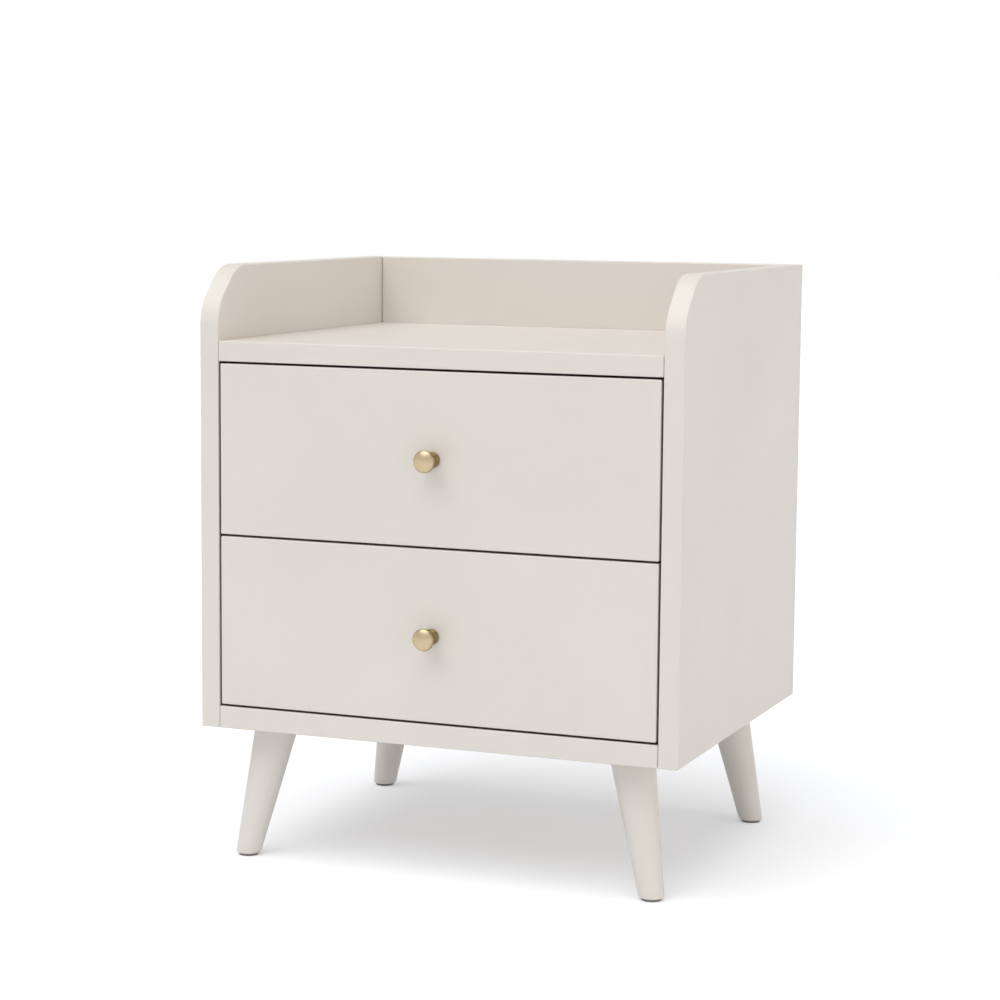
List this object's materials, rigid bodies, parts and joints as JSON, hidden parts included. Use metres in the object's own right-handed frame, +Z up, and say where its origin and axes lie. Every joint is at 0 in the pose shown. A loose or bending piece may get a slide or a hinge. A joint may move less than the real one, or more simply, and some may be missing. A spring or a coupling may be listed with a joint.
{
  "type": "two-drawer nightstand",
  "caption": "Bedside table: two inset drawers on slides, a raised gallery round the top and splayed round legs.",
  "frame": {"origin": "on the floor, under the middle of the overall box with its knobs", "axes": "+Z up, the drawers open towards -Y, +X to the right of someone facing the drawers"},
  "size_m": [0.45, 0.3874, 0.536],
  "materials": {
    "lacquer": "satin warm off-white lacquer on board",
    "hardboard": "matt off-white faced hardboard",
    "plywood": "clear satin birch",
    "beech": "bare beech",
    "brass": "brushed satin",
    "zinc": "bright zinc plate",
    "nylon": "matt"
  },
  "bodies": {
    "cabinet": {"back_panel": "hardboard", "bottom_board": "lacquer", "bottom_board_front_left_dowel": "beech", "bottom_board_front_right_dowel": "beech", "bottom_board_rear_left_dowel": "beech", "bottom_board_rear_right_dowel": "beech", "front_left_foot_glide": "nylon", "front_left_leg": "lacquer", "front_left_leg_bolt": "zinc", "front_left_leg_insert": "zinc", "front_right_foot_glide": "nylon", "front_right_leg": "lacquer", "front_right_leg_bolt": "zinc", "front_right_leg_insert": "zinc", "gallery_rail": "lacquer", "gallery_rail_left_dowel": "beech", "gallery_rail_right_dowel": "beech", "left_side_panel": "lacquer", "lower_left_cabinet_rail": "zinc", "lower_right_cabinet_rail": "zinc", "rear_left_foot_glide": "nylon", "rear_left_leg": "lacquer", "rear_left_leg_bolt": "zinc", "rear_left_leg_insert": "zinc", "rear_right_foot_glide": "nylon", "rear_right_leg": "lacquer", "rear_right_leg_bolt": "zinc", "rear_right_leg_insert": "zinc", "right_side_panel": "lacquer", "top_board": "lacquer", "top_board_front_left_dowel": "beech", "top_board_front_right_dowel": "beech", "top_board_rear_left_dowel": "beech", "top_board_rear_right_dowel": "beech", "upper_left_cabinet_rail": "zinc", "upper_right_cabinet_rail": "zinc"},
    "upper_drawer": {"upper_drawer_bottom": "hardboard", "upper_drawer_box_back": "plywood", "upper_drawer_box_front": "plywood", "upper_drawer_front": "lacquer", "upper_drawer_left_side": "plywood", "upper_drawer_right_side": "plywood", "upper_knob": "brass", "upper_knob_screw": "zinc", "upper_left_drawer_rail": "zinc", "upper_right_drawer_rail": "zinc"},
    "lower_drawer": {"lower_drawer_bottom": "hardboard", "lower_drawer_box_back": "plywood", "lower_drawer_box_front": "plywood", "lower_drawer_front": "lacquer", "lower_drawer_left_side": "plywood", "lower_drawer_right_side": "plywood", "lower_knob": "brass", "lower_knob_screw": "zinc", "lower_left_drawer_rail": "zinc", "lower_right_drawer_rail": "zinc"},
    "upper_middle_rails": {"upper_left_middle_rail": "zinc", "upper_right_middle_rail": "zinc"},
    "lower_middle_rails": {"lower_left_middle_rail": "zinc", "lower_right_middle_rail": "zinc"}
  },
  "joints": [
    {"name": "upper_drawer_slide", "type": "slide", "parent": "cabinet", "child": "upper_drawer", "axis": [0, -1, 0], "range_m": [0, 0.3]},
    {"name": "upper_middle_rail_slide", "type": "slide", "parent": "cabinet", "child": "upper_middle_rails", "axis": [0, -1, 0], "range_m": [0, 0.15]},
    {"name": "lower_drawer_slide", "type": "slide", "parent": "cabinet", "child": "lower_drawer", "axis": [0, -1, 0], "range_m": [0, 0.3]},
    {"name": "lower_middle_rail_slide", "type": "slide", "parent": "cabinet", "child": "lower_middle_rails", "axis": [0, -1, 0], "range_m": [0, 0.15]}
  ],
  "couplings": [
    {"joint": "upper_middle_rail_slide", "follows": "upper_drawer_slide", "ratio": 0.5},
    {"joint": "lower_middle_rail_slide", "follows": "lower_drawer_slide", "ratio": 0.5}
  ]
}
